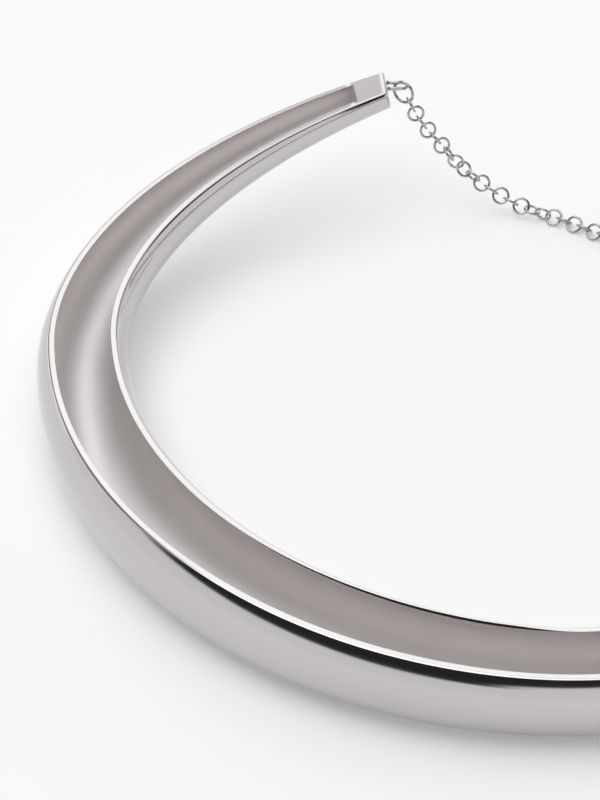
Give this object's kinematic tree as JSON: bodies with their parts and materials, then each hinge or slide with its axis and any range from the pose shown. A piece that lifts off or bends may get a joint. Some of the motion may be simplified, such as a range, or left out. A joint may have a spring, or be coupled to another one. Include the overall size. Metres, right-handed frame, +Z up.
{
  "type": "rigid neck collar necklace with a chain closure",
  "caption": "Rigid oval neck collar, a tapering metal tube cut open along its top, with solid ends joined at the back by a fine chain.",
  "frame": {"origin": "on the table, under the middle of the collar's outline", "axes": "+Z up from the table it lies on, +X towards the wearer's left along its width, -Y towards the front of the neck"},
  "size_m": [0.1364, 0.1228, 0.0202],
  "materials": {
    "polished_silver": "polished silver outside, rims and ends, satin inside the channel",
    "chain_silver": "polished silver wire, slightly darker than the collar"
  },
  "bodies": {
    "root": {"collar": "polished_silver", "jump_ring_left": "chain_silver", "jump_ring_right": "chain_silver", "chain": "chain_silver", "clasp": "chain_silver"}
  },
  "joints": []
}
